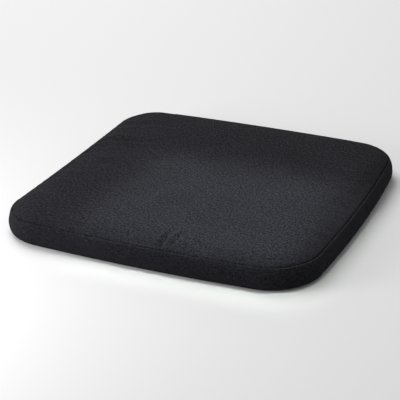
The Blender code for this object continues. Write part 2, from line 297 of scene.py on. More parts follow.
def smooth_line(points, step):
    """Even steps along a smooth curve through the given points."""
    given = np.asarray(points, float)
    before, after = 2 * given[:1] - given[1:2], 2 * given[-1:] - given[-2:-1]
    padded = np.concatenate([before, given, after])
    t = np.linspace(0.0, 1.0, 24, endpoint=False)[:, None]
    near, far = (1 + 2 * t) * (1 - t) ** 2, t * t * (3 - 2 * t)
    leave, arrive = t * (1 - t) ** 2, t * t * (t - 1)
    curves = []
    for p0, p1, p2, p3 in zip(padded, padded[1:], padded[2:], padded[3:]):
        curves.append(near * p1 + leave * (p2 - p0) / 2 + far * p2 + arrive * (p3 - p1) / 2)
    line = np.concatenate(curves + [given[-1:]])
    return evenly(line, max(2, round(run_length(line)[-1] / step)))


def panel(rows, height, stations=SIDE_STATIONS, first_step=1.2):
    """A panel over the outline: rings at the rows of (inset, height), more rings that spread out, and a
    grid over the middle. height(x, y) gives the surface inside the last row."""
    points, inward = outline(stations)
    rings = []
    for row in rows:
        inset, z = np.broadcast_to(row, (len(points), 2)).T
        rings.append(np.column_stack([points + inward * inset[:, None], z]))
    insets, step = [], first_step
    rows_end = last = float(np.max(np.asarray(rows[-1])[..., 0]))
    while last + step < GRID_INSET - step / 2:
        last += step
        insets.append(last)
        step *= 1.18
    around, columns = len(points), stations + 1
    across = (HALF_WIDTH - GRID_INSET) * np.linspace(1.0, -1.0, columns)
    down = (HALF_DEPTH - GRID_INSET) * np.linspace(1.0, -1.0, columns) + CENTRE_Y
    grid_x, grid_y = np.meshgrid(across, down)
    middle = spread(grid_x, grid_y, height(grid_x, grid_y))
    index = np.arange(columns**2).reshape(columns, columns)
    border = np.concatenate([index[0, :-1], index[:-1, -1], index[-1, :0:-1], index[:0:-1, 0]])
    for inset in insets:
        share = eased(inset, rows_end, GRID_INSET)
        flat = (points + inward * inset) * (1 - share) + middle[border, :2] * share
        rings.append(np.column_stack([flat, height(*flat.T)]))
    grid_start = len(rings) * around
    outer, border = grid_start - around + np.arange(around), grid_start + border
    edge = np.stack([outer, np.roll(outer, -1), np.roll(border, -1), border], 1).tolist()
    faces = grid_faces(len(rings), around, closed=True) + edge
    faces += shifted(grid_faces(columns, columns), grid_start)
    return np.concatenate(rings + [middle]), faces


def pad_body(side_rows, top, bottom, stations, first_step=1.2):
    """A closed body: two panels that share the middle ring of its side."""
    upper, faces = panel(side_rows[0], top, stations, first_step)
    lower, lower_faces = panel(side_rows[1], bottom, stations, first_step)
    around = 4 * stations
    shift = len(upper) - around
    for face in lower_faces:
        faces.append(tuple(i if i < around else i + shift for i in face)[::-1])
    return np.concatenate([upper, lower[around:]]), faces


def band_line():
    """Stations of the side band, from its left join round the front to its right join."""
    points, inward = outline(SIDE_STATIONS)
    on_rear = (points[:, 1] > REAR_Y - 0.01) & (np.abs(points[:, 0]) < JOIN_X)
    start = int(np.flatnonzero(on_rear & ~np.roll(on_rear, -1))[0]) + 1
    order = np.arange(start, start + len(points)) % len(points)
    order = order[~on_rear[order]]
    near = np.array([0.3, 0.9, 1.8])
    first = np.stack([near - JOIN_X - 2.1, np.full(3, REAR_Y)], 1)[::-1]
    last = first[::-1] * (-1.0, 1.0)
    straight_in = np.tile((0.0, -1.0), (3, 1))
    line = np.concatenate([first, points[order[1:-1]], last])
    return line, np.concatenate([straight_in, inward[order[1:-1]], straight_in])


def tubes(paths, radii, sides, reference):
    """Round tubes with flat ends along paths, an array of (tube, point, xyz)."""
    paths = np.asarray(paths, float)
    along = unit(np.gradient(paths, axis=1))
    across = unit(np.cross(along, np.broadcast_to(reference, paths.shape)))
    out = np.cross(across, along)
    turn = np.linspace(0.0, 2 * math.pi, sides, endpoint=False)[:, None]
    rings = np.cos(turn) * across[:, :, None] + np.sin(turn) * out[:, :, None]
    width = np.broadcast_to(radii, paths.shape[:2])[:, :, None, None]
    points = paths[:, :, None] + rings * width
    count, length = paths.shape[:2]
    one = grid_faces(length, sides, closed=True)
    one += [tuple(range(sides)), tuple(range((length - 1) * sides, length * sides))]
    faces = []
    for k in range(count):
        faces += shifted(one, k * length * sides)
    return points.reshape(-1, 3), faces


def stitches(line, outward, pitch, lift):
    """Thread that comes up out of the cloth at each stitch along a line and goes back in."""
    half_stitch, sink = 0.44, 0.25
    run = run_length(line)
    count = int(run[-1] // pitch)
    reach = np.linspace(-half_stitch, half_stitch, 7)
    at = (np.arange(count)[:, None] + 0.5 + reach) * pitch
    facing = unit(sampled(outward, run, at))
    share = reach / half_stitch
    place = sampled(line, run, at) + facing * (lift * (1 - share**2) - sink * share**4)[:, None]
    radii = THREAD_RADIUS * (1 - 0.45 * share**6)
    return tubes(place, radii, 7, facing)


def rounded_plate(outline_points, low_y, high_y, edge, hole=None):
    """A plate on the rear wall with rounded edges, from an outline of (x, z), and a hole if given."""
    form = bmesh.new()
    steps = [(edge, 0.0), (0.3 * edge, 0.3 * edge), (0.0, edge)]
    depths = [(inset, low_y + rise) for inset, rise in steps]
    depths += [(inset, high_y - rise) for inset, rise in steps[::-1]]
    loops = []
    for shape, sign in ((outline_points, 1.0), (hole, -1.0)):
        if shape is None:
            continue
        inward = loop_left(shape) * sign
        rings = []
        for inset, y in depths:
            ring = shape + inward * inset
            rings.append([form.verts.new((x, y, z)) for x, z in ring])
        for first, second in zip(rings, rings[1:]):
            for i in range(len(first)):
                j = (i + 1) % len(first)
                form.faces.new((first[i], first[j], second[j], second[i]))
        loops.append(rings)
    for end in (0, -1):
        edges = []
        for rings in loops:
            ring = rings[end]
            edges += [form.edges.get(pair) for pair in zip(ring, ring[1:] + ring[:1])]
        bmesh.ops.triangle_fill(form, use_beauty=True, edges=edges)
    form.verts.index_update()
    points = np.array([vertex.co for vertex in form.verts])
    faces = [tuple(vertex.index for vertex in face.verts) for face in form.faces]
    form.free()
    return points, faces


def rounded_outline(corners, radius, steps=5):
    """A closed outline of (x, z), anticlockwise, with each corner rounded by a curve."""
    corners = np.asarray(corners, float)
    made = []
    for before, here, after in zip(np.roll(corners, 1, 0), corners, np.roll(corners, -1, 0)):
        to_before, to_after = before - here, after - here
        room = min(np.linalg.norm(to_before), np.linalg.norm(to_after)) / 2.2
        to_before /= np.linalg.norm(to_before)
        to_after /= np.linalg.norm(to_after)
        half_angle = math.acos(float(np.clip(to_before @ to_after, -1.0, 1.0))) / 2
        cut = min(radius / math.tan(half_angle), room)
        start, end = here + to_before * cut, here + to_after * cut
        for step in range(steps + 1):
            t = step / steps
            made.append((1 - t) ** 2 * start + 2 * t * (1 - t) * here + t * t * end)
    return np.array(made)


# ---- Shape of the cover ----

# Middle lines of the cloth as (inset, height). The allowances are turned in behind the wall. The closed
# sections are those of the left side, where the panel rolls over its seam.
TOP_FOLD = [(3.55, 25.0), (4.0, 25.3), (4.5, 25.15), (4.9, 24.4), (5.2, 23.0), (5.3, 21.0), (5.2, 18.0)]
CLOSED_TOP_FOLD = [(3.5, 24.0), (4.1, 24.5), (4.7, 24.3), (5.1, 23.0), (5.3, 20.4), (5.2, 18.0)]
PANEL_EDGE = [(6.9, 18.0), (6.8, 21.0), (6.6, 23.4), (6.7, 24.6), (7.2, 25.5), (8.0, 26.1)]
CLOSED_PANEL_EDGE = [(6.6, 18.0), (6.4, 21.0), (6.0, 23.4), (5.6, 24.6), (6.0, 25.6), (8.0, 26.35)]
BOTTOM_FOLD = [(6.3, 8.4), (6.4, 4.2), (6.3, 2.5), (5.6, 1.5), (4.6, 1.35)]
WALL = [(3.4, 1.95), (2.2, 3.2), (0.9, 6.2), (0.45, 10.6), (0.75, 15.2), (1.8, 20.6), (3.1, 24.3)]
UPPER_LIP = [(2.6, 23.0), (2.35, 20.0), (2.25, 18.6), (1.6, 17.95), (0.85, 18.4), (0.8, 20.0)]
UPPER_WALL = [(1.25, 22.0), (2.3, 24.2)]
LOWER_LIP = [(2.6, 3.9), (2.35, 7.0), (2.25, 8.5), (1.6, 9.15), (0.85, 8.7), (0.8, 7.0)]
LOWER_WALL = [(1.3, 4.6), (2.4, 2.9), (3.6, 1.75)]
SEAM_EDGE_Z = 26.1
SEAM_CLOSED = 0.32  # how far the seam is closed at the front and right
ROLL_REACH, ROLL_RISE = 15.0, 1.9


def seam_closed(inward):
    """1 on the left, where the panel rolls over its seam and closes it, and SEAM_CLOSED elsewhere."""
    return SEAM_CLOSED + (1 - SEAM_CLOSED) * eased(inward[:, 0], 0.15, 0.5)


def blended(section, other, share, step):
    """Rows of a section that turns into another along the stations, by a share for each of them."""
    first = smooth_line(section, step)
    second = evenly(smooth_line(other, step), len(first) - 1)
    return first[:, None] + (second - first)[:, None] * share[:, None]


def fold(x, y, start, end, width, depth):
    """A soft furrow from start to end, between two low ridges."""
    run = np.subtract(end, start)
    length = np.hypot(*run)
    t = ((x - start[0]) * run[0] + (y - start[1]) * run[1]) / length**2
    q = ((x - start[0]) * run[1] - (y - start[1]) * run[0]) / length / width
    fade = np.clip(1 - (2 * t - 1) ** 2, 0.0, 1.0)
    return depth * fade * (0.5 * np.exp(-((np.abs(q) - 1.9) ** 2)) - np.exp(-q * q))


def dent(x, y, centre, reach, depth):
    """A round hollow."""
    q = ((x - centre[0]) / reach[0]) ** 2 + ((y - centre[1]) / reach[1]) ** 2
    return -depth * np.exp(-q)


# The top panel's furrows, each as (start, end, width, depth), and two hollows of its pucker, one in the
# cloth and one that it presses into the pad, each as (centre, reach, depth).
FOLDS = [
    ((23, -190), (21, -142), 3.0, 2.5),
    ((31, -172), (35, -138), 3.0, 1.4),
    ((44, -153), (74, -169), 3.6, 1.2),
    ((68, -160), (92, -170), 3.6, 0.8),
    ((-184, 56), (-100, 66), 5.5, 1.9),
    ((-188, 28), (-108, 14), 8.0, 1.1),
    ((-184, -28), (-108, -6), 8.0, 0.7),
    ((-180, -60), (-116, -54), 7.0, 0.5),
    ((-182, 104), (-110, 128), 5.5, 1.1),
    ((-176, 92), (-140, 86), 4.0, 0.6),
    ((-130, 182), (-112, 140), 5.0, 0.5),
]
PUCKER_DENT = ((4, -174), (13, 8), 1.2)
PUCKER_HOLLOW = ((21, -170), (19, 14), 2.6)


def relief(x, y):
    """The cloth's own folds: a pucker at the front seam, and pulls from the left and the rear-left."""
    total = 0.16 * waves(x, y, 38.0, 3) + dent(x, y, *PUCKER_DENT)
    for start, end, width, depth in FOLDS:
        total += fold(x, y, start, end, width, depth)
    near_seam = np.exp(-np.maximum(0.0, edge_distance(x, y) - 7.0) / 5.0)
    return total + 0.10 * near_seam * waves(x, y, 7.0, 4)


def top_height(x, y):
    """Middle of the top panel's cloth. It rolls down to its seam, most widely at the front right."""
    soft = eased(x - 0.4 * y, 90.0, 190.0)
    rise = ROLL_RISE + 1.1 * soft
    roll = np.clip((edge_distance(x, y) - 7.6) / (ROLL_REACH + 9.0 * soft), 0.0, 1.0)
    u = np.clip(np.abs(x) / (HALF_WIDTH - 6), 0, 1)
    v = np.clip(np.abs(y - CENTRE_Y) / (HALF_DEPTH - 6), 0, 1)
    dome = (TOP_Z - SEAM_EDGE_Z - rise) * (1 - u**2.6) * (1 - v**2.6)
    return SEAM_EDGE_Z + rise * (1 - (1 - roll) ** 2.4) + dome + relief(x, y)


def base_height(x, y):
    """The underside hangs a little between its rubber dots."""
    return (BASE_LOW[2] + CLOTH / 2) + 0.05 * waves(x, y, 30.0, 11)


# ---- Materials ----


def new_material(name, colour, roughness, specular=0.5):
    """A material and its shader."""
    made = bpy.data.materials.new(name)
    made.use_nodes = True
    shader = made.node_tree.nodes["Principled BSDF"]
    shader.inputs["Base Color"].default_value = (*colour, 1.0)
    shader.inputs["Roughness"].default_value = roughness
    shader.inputs["Specular IOR Level"].default_value = specular
    return made, shader


def add_node(beside, kind, inputs=(), **settings):
    """A node in the tree of another node or socket, with each input linked to a socket or set."""
    tree = beside.id_data
    made = tree.nodes.new(kind)
    for key, value in settings.items():
        setattr(made, key, value)
    for key, value in dict(inputs).items():
        if isinstance(value, bpy.types.NodeSocket):
            tree.links.new(value, made.inputs[key])
        else:
            made.inputs[key].default_value = value
    return made


def maths(operation, first, *others):
    inputs = dict(enumerate((first, *others)))
    return add_node(first, "ShaderNodeMath", inputs, operation=operation).outputs[0]


def scaled(place, sizes):
    """The place with each part divided by a size in millimetres."""
    factors = tuple(1.0 / (size * MM) for size in sizes)
    return add_node(place, "ShaderNodeVectorMath", {0: place, 1: factors}, operation="MULTIPLY").outputs[0]


def noise(place, sizes, detail, roughness=0.5):
    """Cloudy noise of these sizes, mostly between 0.3 and 0.7."""
    inputs = {"Vector": scaled(place, sizes), "Scale": 1.0, "Detail": detail, "Roughness": roughness}
    return add_node(place, "ShaderNodeTexNoise", inputs).outputs["Fac"]


def remap(value, low, high, to_low=0.0, to_high=1.0):
    inputs = {"Value": value, "From Min": low, "From Max": high, "To Min": to_low, "To Max": to_high}
    return add_node(value, "ShaderNodeMapRange", inputs).outputs[0]


def mix_colour(share, first, second):
    ends = [end if isinstance(end, bpy.types.NodeSocket) else (*end, 1.0) for end in (first, second)]
    inputs = {0: share, 6: ends[0], 7: ends[1]}
    return add_node(share, "ShaderNodeMix", inputs, data_type="RGBA").outputs[2]


def varied(base, pattern, amount):
    """The base made more or less by an amount of a pattern, which lies about 0.5."""
    return maths("MULTIPLY_ADD", maths("SUBTRACT", pattern, 0.5), amount, base)


def surface(shader, colour, roughness, height, depth, strength):
    """Gives the shader a colour, a roughness and a relief that is so many millimetres deep."""
    inputs = {"Height": height, "Strength": strength, "Distance": depth * MM}
    normal = add_node(shader, "ShaderNodeBump", inputs).outputs["Normal"]
    for name, value in (("Base Color", colour), ("Roughness", roughness), ("Normal", normal)):
        shader.id_data.links.new(value, shader.inputs[name])


def weave(cloth, pitch):
    """Plain weave over a flat map: (height of the yarns, 1 where the warp is on top)."""
    threads = add_node(cloth, "ShaderNodeSeparateXYZ", {"Vector": scaled(cloth, (pitch, pitch, pitch))})
    u, v = threads.outputs["X"], threads.outputs["Y"]
    warp_up = maths("PINGPONG", maths("ADD", maths("FLOOR", u), maths("FLOOR", v)), 1.0)
    across_u, across_v = [maths("SINE", maths("MULTIPLY", maths("FRACT", t), math.pi)) for t in (u, v)]
    warp = maths("MULTIPLY", across_u, maths("MULTIPLY_ADD", across_v, 0.5, 0.5))
    weft = maths("MULTIPLY", across_v, maths("MULTIPLY_ADD", across_u, 0.5, 0.5))
    return remap(warp_up, 0.0, 1.0, weft, warp), warp_up


def melange_fabric():
    """Plain-woven charcoal yarns, each spun from black and grey fibres in uneven streaks and specks. The
    dips between the yarns are darkened with painted shade, and how strongly the light specks show on each
    piece is a painted sheen.
    """
    made, shader = new_material("melange_fabric", (0.02, 0.02, 0.022), 0.92, 0.05)
    cloth = add_node(shader, "ShaderNodeUVMap", uv_map="cloth").outputs["UV"]
    height, warp_up = weave(cloth, 0.85)
    warp_streak = noise(cloth, (1.1, 4.5, 1.0), 3.0, 0.6)
    weft_streak = noise(cloth, (5.5, 1.1, 1.0), 3.0, 0.6)
    fibre = noise(cloth, (0.5, 0.5, 1.0), 2.0, 0.6)
    fleck = noise(cloth, (2.0, 2.9, 1.0), 2.0, 0.7)
    # Painted sheen: this share scales how strongly the light fibres show, standing in for the sheen that
    # lights them at grazing angles.
    fleck_sheen = add_node(shader, "ShaderNodeAttribute", attribute_name="fleck_sheen").outputs["Fac"]
    patch = noise(cloth, (60.0, 60.0, 1.0), 3.0)
    blend = varied(remap(warp_up, 0.0, 1.0, weft_streak, warp_streak), fibre, 0.35)
    blend = varied(varied(blend, fleck, fleck_sheen), patch, 0.12)
    black, grey = (0.0032, 0.0030, 0.0041), (0.0358, 0.0350, 0.0436)
    colour = mix_colour(maths("POWER", remap(blend, 0.28, 0.76), 1.6), black, grey)
    # Painted shade: the colour darkens in the dips of the weave, between the yarns' crossings.
    colour = mix_colour(remap(height, 0.0, 1.0, 0.45, 1.0), (0.0, 0.0, 0.0), colour)
    shader.inputs["Sheen Weight"].default_value = 0.006
    shader.inputs["Sheen Roughness"].default_value = 0.45
    yarns = maths("MULTIPLY_ADD", fibre, 0.35, height)
    surface(shader, colour, remap(fibre, 0.3, 0.7, 0.82, 0.98), yarns, 0.22, 0.7)
    return made


def grainy(name, colour, roughness, grain, depth, contrast, specular=0.5, stretch=(1, 1, 1)):
    """A stuff with fine grain in its colour, roughness and surface. grain and depth are millimetres."""
    made, shader = new_material(name, colour, roughness, specular)
    place = add_node(shader, "ShaderNodeTexCoord").outputs["Object"]
    fine = noise(place, [grain * share for share in stretch], 4.0, 0.6)
    dark = tuple(channel * (1 - contrast) for channel in colour)
    light = tuple(min(1.0, channel * (1 + contrast)) for channel in colour)
    rough = remap(fine, 0.3, 0.7, roughness * 0.85, min(1.0, roughness * 1.12))
    surface(shader, mix_colour(remap(fine, 0.3, 0.7), dark, light), rough, fine, depth, 0.9)
    return made


def woven(name, dark, light, pitch, roughness, depth):
    """A plain-woven cloth in two shades; the dark one is also painted into the dips between the yarns as
    shade.
    """
    made, shader = new_material(name, light, roughness, 0.2)
    cloth = add_node(shader, "ShaderNodeUVMap", uv_map="cloth").outputs["UV"]
    height, _ = weave(cloth, pitch)
    fibre = noise(cloth, (pitch * 0.6, pitch * 2.5, 1.0), 3.0, 0.6)
    # Painted shade: the colour falls to the dark shade where the yarns dip.
    colour = mix_colour(maths("MULTIPLY", remap(fibre, 0.3, 0.7, 0.4, 1.0), height), dark, light)
    rough = remap(fibre, 0.3, 0.7, roughness - 0.08, roughness + 0.05)
    surface(shader, colour, rough, maths("MULTIPLY_ADD", fibre, 0.3, height), depth, 0.8)
    return made


def open_foam():
    """Cut polyurethane foam: fine cells, whose pores are darkened with painted shade."""
    made, shader = new_material("open_cell_foam", (0.78, 0.74, 0.55), 0.95)
    place = add_node(shader, "ShaderNodeTexCoord").outputs["Object"]
    inputs = {"Vector": scaled(place, (1.1, 1.1, 1.1)), "Scale": 1.0}
    cells = add_node(shader, "ShaderNodeTexVoronoi", inputs).outputs["Distance"]
    fine = noise(place, (0.6, 0.6, 0.6), 3.0, 0.6)
    pores = maths("MULTIPLY_ADD", fine, 0.4, cells)
    # Painted shade: the pores, the hollows of the cells, are coloured darker.
    colour = mix_colour(remap(pores, 0.2, 0.85), (0.50, 0.45, 0.30), (0.82, 0.78, 0.60))
    surface(shader, colour, remap(fine, 0.3, 0.7, 0.88, 1.0), pores, 0.5, 0.8)
    return made


# Each material slot's look. Woven cloth has its dark and light shade, pitch, roughness and depth, and
# grainy stuff its colour, roughness, grain, depth and contrast.
LOOKS = {
    "cover_fabric": melange_fabric(),
    "thread": grainy("sewing_thread", (0.018, 0.018, 0.021), 0.6, 0.25, 0.05, 0.3, specular=0.3),
    "base_cloth": woven("base_cloth", (0.010, 0.010, 0.011), (0.034, 0.034, 0.037), 0.55, 0.88, 0.12),
    "grip_rubber": grainy("grip_rubber", (0.020, 0.020, 0.021), 0.5, 0.5, 0.03, 0.15),
    "label": woven("label_satin", (0.66, 0.66, 0.64), (0.82, 0.82, 0.80), 0.22, 0.42, 0.03),
    "foam": open_foam(),
    "wadding": grainy("polyester_wadding", (0.84, 0.84, 0.83), 0.95, 1.6, 0.5, 0.12, stretch=(4, 1, 1)),
    "liner": grainy("liner_sheet", (0.80, 0.80, 0.78), 0.9, 1.2, 0.08, 0.06, stretch=(1, 3, 1)),
    "liner_thread": grainy("liner_thread", (0.75, 0.75, 0.73), 0.6, 0.25, 0.05, 0.12),
    "zip_tape": woven("tape_weave", (0.007, 0.007, 0.008), (0.024, 0.024, 0.027), 0.5, 0.8, 0.08),
    "zip_plastic": grainy("coil_nylon", (0.022, 0.022, 0.024), 0.38, 0.8, 0.01, 0.12),
    "slider_metal": grainy("slider_enamel", (0.03, 0.03, 0.032), 0.3, 0.9, 0.012, 0.15),
}


# ---- Simulation ----

CAGE_STATIONS = 66
CAGE_SIDE = (
    [(0.5, 13.0), (0.8, 17.0), (1.8, 21.0), (3.9, 25.2), (6.0, 24.4), (8.0, 25.8)],
    [(0.5, 13.0), (0.8, 8.0), (2.2, 3.4), (5.4, 1.7), (9.0, 1.4)],
)
CAGE_CLOTH = {
    "quality": 6,
    "mass": 0.3,
    "vertex_group_mass": "hold",
    "pin_stiffness": 1.0,
    "tension_stiffness": 15.0,
    "compression_stiffness": 12.0,
    "shear_stiffness": 6.0,
    "bending_stiffness": 0.4,
    "use_pressure": True,
    "uniform_pressure_force": 4.0,
    "shrink_min": -0.012,
}
LAST_FRAME = 20
MOST_SWELL = 3.0
NEAR, NEAR_COUNT = 5.0, 6  # a point moves with so many points of the cage, weighted over this distance


def cage_hold(points):
    """How firmly each point of the cage is held: 1 is fixed and 0 is free."""
    x, y, z = points.T
    inset = edge_distance(x, y)
    hold = np.full(len(points), 0.03)
    hold[(inset < 4.0) & (z < 24.0)] = 0.3
    hold[(np.abs(inset - 5.6) < 2.2) & (z > 24.0)] = 0.9
    hold[z < 4.0] = 1.0
    hold[(y > REAR_Y - 7.0) & (np.abs(x) < JOIN_X + 6.0) & (z < 25.5)] = 1.0
    return hold


def simulated_swelling():
    """Fills a coarse copy of the cover with pressure, as cloth that is slightly too big for its seams,
    and returns a function that moves points as the cover moved round them."""

    def low_crown(x, y):
        return top_height(x, y) - 0.8

    start, faces = pad_body(CAGE_SIDE, low_crown, base_height, CAGE_STATIONS, 5.0)
    cage = new_object("cage", start, faces)
    group = cage.vertex_groups.new(name="hold")
    for index, weight in enumerate(cage_hold(start)):
        group.add([index], float(weight), "REPLACE")
    cloth = cage.modifiers.new("cloth", "CLOTH")
    for key, value in CAGE_CLOTH.items():
        setattr(cloth.settings, key, value)
    cloth.settings.effector_weights.gravity = 0.0
    cloth.collision_settings.use_collision = False
    cloth.point_cache.frame_start = 1
    cloth.point_cache.frame_end = LAST_FRAME
    for step in range(1, LAST_FRAME + 1):
        bpy.context.scene.frame_set(step)
    filled = cage.evaluated_get(bpy.context.evaluated_depsgraph_get())
    ended = np.zeros(3 * len(start))
    filled.to_mesh().vertices.foreach_get("co", ended)
    filled.to_mesh_clear()
    bpy.data.objects.remove(cage, do_unlink=True)
    bpy.context.scene.frame_set(1)
    moved = ended.reshape(-1, 3) / MM - start
    size = np.linalg.norm(moved, axis=1, keepdims=True)
    moved *= MOST_SWELL * np.tanh(size / MOST_SWELL) / np.maximum(size, 1e-9)

    tree = KDTree(len(start))
    for index, point in enumerate(start):
        tree.insert(point, index)
    tree.balance()

    def moved_with_cage(points):
        result = np.array(points, float)
        for index, point in enumerate(points):
            near = tree.find_n(point, NEAR_COUNT)
            weights = np.array([math.exp(-((distance / NEAR) ** 2)) + 1e-9 for _, _, distance in near])
            result[index] += weights @ moved[[which for _, which, _ in near]] / weights.sum()
        return result

    return moved_with_cage


swell = simulated_swelling()


# ---- The cover's pieces ----


def make_top_panel():
    _, inward = outline(SIDE_STATIONS)
    edge = blended(PANEL_EDGE, CLOSED_PANEL_EDGE, seam_closed(inward), 0.8)
    points, faces = panel(edge, top_height)
    # Painted sheen: the light fibres show less towards the rim, where the panel rolls over and less sheen
    # would catch them.
    looks = {"uv": points[:, :2], "fleck_sheen": 0.5 + 0.9 * eased(edge_distance(*points[:, :2].T), 8.0, 30.0)}
    points = settled(swell(points))
    made = ("top_panel", "cover_top_panel", "cover_fabric", points, faces)
    make_piece(*made, **looks, thickness=CLOTH)


def end_tuck(distance):
    """How far a panel of the wall bends in at its ends, where it is joined to the next one."""
    return 1.5 * np.exp(-distance / 0.8)


def make_side_band():
    line, inward = band_line()
    lower = BOTTOM_FOLD + WALL
    closed = lower[:-1] + [(2.8, 23.0)] + CLOSED_TOP_FOLD
    section = blended(lower + TOP_FOLD, closed, seam_closed(inward), 1.0)
    along, down = run_length(line), run_length(section[:, 0])
    inset = section[:, :, 0] + end_tuck(np.minimum(along, along[-1] - along))
    z = section[:, :, 1]
    flat = line + inward * inset[:, :, None]
    billow = np.sin(np.clip((z - 3.0) / 21.0, 0.0, 1.0) * math.pi)
    wave = 0.16 * billow * waves(along, z, 30.0, 5)
    near_seam = np.exp(-np.abs(z - 25.0) / 3.0) + np.exp(-np.abs(z - 2.0) / 3.0)
    wave = wave + 0.09 * near_seam * waves(along, z * 0.4, 7.0, 6)
    flat = flat - inward * wave[:, :, None]
    points = settled(swell(spread(flat[:, :, 0], flat[:, :, 1], z)))
    made = ("side_band", "cover_side_band", "cover_fabric", points, grid_faces(*z.shape))
    uv = spread(along, down[:, None])
    # Painted sheen: the wall shows its light fibres less than the top, where more sheen would catch them.
    make_piece(*made, uv=uv, fleck_sheen=0.3, thickness=CLOTH)


def make_zip_strips():
    """The rear wall above and below the zipper, each with a rolled lip."""
    strips = (
        ("upper", UPPER_LIP + UPPER_WALL + TOP_FOLD, 18.0, 7),
        ("lower", LOWER_LIP + LOWER_WALL + BOTTOM_FOLD[::-1], 9.0, 8),
    )
    half = JOIN_X - 0.3
    near = np.array([0.0, 0.6, 1.2, 2.1])
    x = np.concatenate([near - half, np.linspace(4.0 - half, half - 4.0, 120), half - near[::-1]])
    for side, section, lip_z, seed in strips:
        section = smooth_line(section, 0.6)
        inset, z = section[:, :1], section[:, 1:]
        slack = 0.16 * waves(x, z, 24.0, seed)
        lip = 0.22 * np.exp(-np.abs(z - lip_z) / 3.0) * waves(x, 0 * z, 17.0, seed + 2)
        y = REAR_Y - inset - end_tuck(half - np.abs(x))
        y = y - np.abs(slack) * 0.6 * (np.abs(z - lip_z) < 5)
        points = settled(spread(x, y, z + lip))
        names = (f"zip_strip_{side}", f"cover_zip_strip_{side}", "cover_fabric")
        uv = spread(x, run_length(section)[:, None])
        # Painted sheen: the wall shows its light fibres less than the top, where more sheen would catch
        # them.
        piece = make_piece(*names, points, grid_faces(*y.shape), uv=uv, fleck_sheen=0.3, thickness=CLOTH)


def make_underside():
    edge = smooth_line([(8.0, 8.4), (7.9, 4.6), (8.0, 2.9), (8.9, 1.6), (10.4, 1.27)], 0.8)
    points, faces = panel(edge, base_height)
    made = ("bottom_panel", "cover_bottom_panel", "base_cloth", settled(points), faces)
    make_piece(*made, uv=points[:, :2], thickness=CLOTH)


def make_grip_dots():
    """Low round dots in staggered rows over the underside."""
    pitch, radius, edge_inset, sides = 9.0, 1.9, 16.0, 12
    rise = pitch * math.sqrt(3) / 2
    most_columns, most_rows = 21, int(HALF_DEPTH // rise)
    turn = np.linspace(0.0, 2 * math.pi, sides, endpoint=False)
    circle = np.stack([np.cos(turn), np.sin(turn), np.zeros(sides)], 1)
    profile = [(0.72, 0.02), (0.95, 0.12), (1.0, 0.35), (0.97, 0.86)]
    dot = np.concatenate([circle * (radius * share) + (0, 0, z) for share, z in profile])
    dot_faces = [face[::-1] for face in grid_faces(len(profile), sides, closed=True)]
    dot_faces += [tuple(range(sides))[::-1], tuple(range(len(dot) - sides, len(dot)))]
    parts = []
    for row in range(-most_rows, most_rows + 1):
        for column in range(-most_columns, most_columns + 1):
            x, y = (column + 0.5 * (row % 2)) * pitch, CENTRE_Y + row * rise
            if edge_distance(x, y) > edge_inset:
                parts.append((dot + (x, y, 0.0), dot_faces))
    points, faces = joined(parts)
    make_piece("grip_dots", "grip_coating", "grip_rubber", settled(points), faces, closed=True, sharp=50)


def rear_line(x, inset, z):
    """A straight line on the rear wall and the wall's outward direction, for a row of stitches."""
    line = np.stack(np.broadcast_arrays(x, REAR_Y - inset, z), 1)
    return line, np.tile((0.0, 1.0, 0.0), (len(line), 1))


def make_seam_stitches():
    rings = (
        ("top", 5.95, 23.7, (0.15, 1.0)),
        ("bottom", 7.1, 3.0, (0.35, -0.94)),
    )
    seams = []
    for side, inset, z, (out, up) in rings:
        line, into = closed_line(inset, z)
        outward = np.column_stack([-into * out, np.full(len(into), up)])
        seams.append((f"{side}_seam_stitches", f"{side}_seam_thread", (settled(line), outward), 3.2, 0.22))
    for side, x in (("left", -JOIN_X), ("right", JOIN_X)):
        line = rear_line(x, 1.75, np.linspace(4.0, 23.0, 20))
        seams.append((f"side_join_stitches_{side}", f"side_join_thread_{side}", line, 2.7, 0.2))
    for side, z in (("upper", 20.1), ("lower", 6.9)):
        line = rear_line(np.linspace(2.0 - JOIN_X, JOIN_X - 2.0, 120), 0.42, z)
        seams.append((f"zip_topstitches_{side}", f"zip_topstitch_{side}", line, 3.0, 0.25))
    for name, node, line, pitch, lift in seams:
        make_piece(name, node, "thread", *stitches(*line, pitch, lift), closed=True)


def make_label():
    """A blank ribbon folded over on itself and caught in the right-hand join."""
    length, gap = LABEL_HIGH[0] - LABEL_LOW[0], 0.42
    near_y = REAR_Y - 0.05 + 0.30
    turn = np.radians(np.linspace(-90.0, 90.0, 7))
    reach = LABEL_LOW[0] + length - gap / 2
    inner = np.stack([np.linspace(LABEL_LOW[0] - 1.0, reach, 14), np.full(14, near_y)], 1)
    bend = np.stack([reach + np.cos(turn) * gap / 2, near_y + gap / 2 + np.sin(turn) * gap / 2], 1)
    path = np.concatenate([inner, bend[1:-1], inner[::-1] + (0.0, gap)])
    z = np.linspace(LABEL_LOW[2], LABEL_HIGH[2], 15)
    out = (path[:, 0] - LABEL_LOW[0]) / length
    cupped = 0.5 * np.cos((z - z[0]) / (z[-1] - z[0]) * math.pi) + 0.25
    curl = np.outer(np.clip(out, 0.0, 1.0) ** 2, cupped)
    tucked = -0.9 * np.clip(-out * 8.0, 0.0, 1.0)
    y = path[:, 1:] + curl + tucked[:, None]
    made = ("care_label_ribbon", "care_label", "label", spread(path[:, :1], y, z))
    uv = spread(run_length(path)[:, None], z)
    piece = make_piece(*made, grid_faces(*y.shape), uv=uv, thickness=0.16)


# ---- The pad inside ----

PAD_INSET = FOAM_LOW[0] - BAND_LOW[0]
WADDING_Z = FOAM_HIGH[2] + 0.35
LINER_INSET, LINER_SEAM_Z = PAD_INSET - 0.5, 13.5


